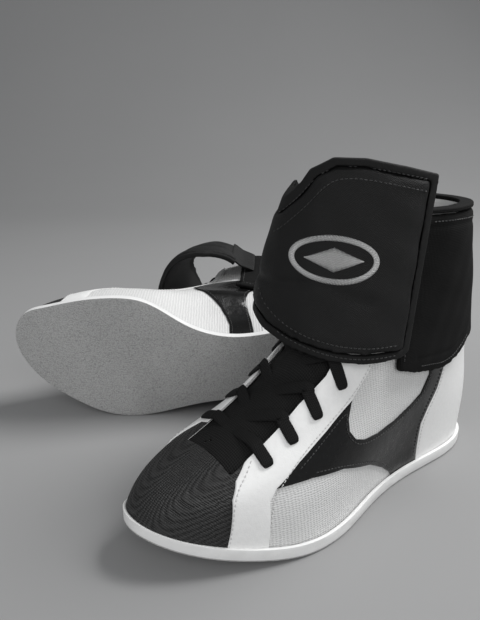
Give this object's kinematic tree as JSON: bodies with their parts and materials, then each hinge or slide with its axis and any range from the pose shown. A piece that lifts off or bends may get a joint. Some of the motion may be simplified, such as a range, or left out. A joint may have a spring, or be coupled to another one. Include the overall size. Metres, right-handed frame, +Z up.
{
  "type": "boxing boots",
  "caption": "Pair of lace-up boxing boots with padded ankle cuffs and wide padded hook-and-loop straps, one standing and one lying on its side.",
  "frame": {"origin": "on the ground under the middle of the pair's bounding box", "axes": "+Z up; the standing left boot points its toe towards -X and -Y, the lying right boot shows its sole to -Y with its toe to -X"},
  "size_m": [0.362, 0.4072, 0.2175],
  "materials": {
    "tread": "matte",
    "white_rubber": "satin",
    "board": "matte",
    "insole": "matte",
    "lining": "matte",
    "black_mesh": "matte",
    "white_leather": "satin",
    "white_mesh": "satin",
    "black_gloss": "gloss",
    "cuff_fabric": "matte",
    "lace": "matte",
    "aglet": "gloss",
    "strap_fabric": "satin",
    "strap_tape": "matte",
    "hook_tape": "matte",
    "silver_thread": "satin"
  },
  "bodies": {
    "left_boot": {"left_outsole": "tread", "left_sole_rim": "white_rubber", "left_lasting_board": "board", "left_insole": "insole", "left_lining": "lining", "left_toe_vamp": "black_mesh", "left_heel_counter": "board", "left_heel_cover": "white_leather", "left_side_mesh_lateral": "white_mesh", "left_ankle_mesh_lateral": "white_mesh", "left_eyestay_lateral": "white_leather", "left_saddle_lateral": "black_gloss", "left_side_mesh_medial": "white_mesh", "left_ankle_mesh_medial": "white_mesh", "left_eyestay_medial": "white_leather", "left_saddle_medial": "black_gloss", "left_tongue": "black_mesh", "left_cuff": "cuff_fabric", "left_cuff_binding": "cuff_fabric", "left_lace": "lace", "left_lace_aglets": "aglet"},
    "left_strap": {"left_strap_pad": "strap_fabric", "left_strap_backing": "strap_fabric", "left_strap_binding": "strap_tape", "left_strap_hook": "hook_tape", "left_strap_motif": "silver_thread"},
    "right_boot": {"right_outsole": "tread", "right_sole_rim": "white_rubber", "right_lasting_board": "board", "right_insole": "insole", "right_lining": "lining", "right_toe_vamp": "black_mesh", "right_heel_counter": "board", "right_heel_cover": "white_leather", "right_side_mesh_lateral": "white_mesh", "right_ankle_mesh_lateral": "white_mesh", "right_eyestay_lateral": "white_leather", "right_saddle_lateral": "black_gloss", "right_side_mesh_medial": "white_mesh", "right_ankle_mesh_medial": "white_mesh", "right_eyestay_medial": "white_leather", "right_saddle_medial": "black_gloss", "right_tongue": "black_mesh", "right_cuff": "cuff_fabric", "right_cuff_binding": "cuff_fabric", "right_lace": "lace", "right_lace_aglets": "aglet"},
    "right_strap": {"right_strap_pad": "strap_fabric", "right_strap_backing": "strap_fabric", "right_strap_binding": "strap_tape", "right_strap_hook": "hook_tape", "right_strap_motif": "silver_thread"}
  },
  "joints": [
    {"name": "left_strap_hinge", "type": "hinge", "parent": "left_boot", "child": "left_strap", "pos_m": [0.0633, -0.04218, 0.152], "axis": [-0.0773, 0.006, -0.997], "range_deg": [0, 120]},
    {"name": "right_boot_slide", "type": "slide", "parent": "left_boot", "child": "right_boot", "axis": [0, 1, 0], "range_m": [0, 0.25]},
    {"name": "right_strap_hinge", "type": "hinge", "parent": "right_boot", "child": "right_strap", "pos_m": [0.00188, 0.13739, 0.10499], "axis": [0.0275, 0.9992, -0.028], "range_deg": [0, 120]}
  ]
}
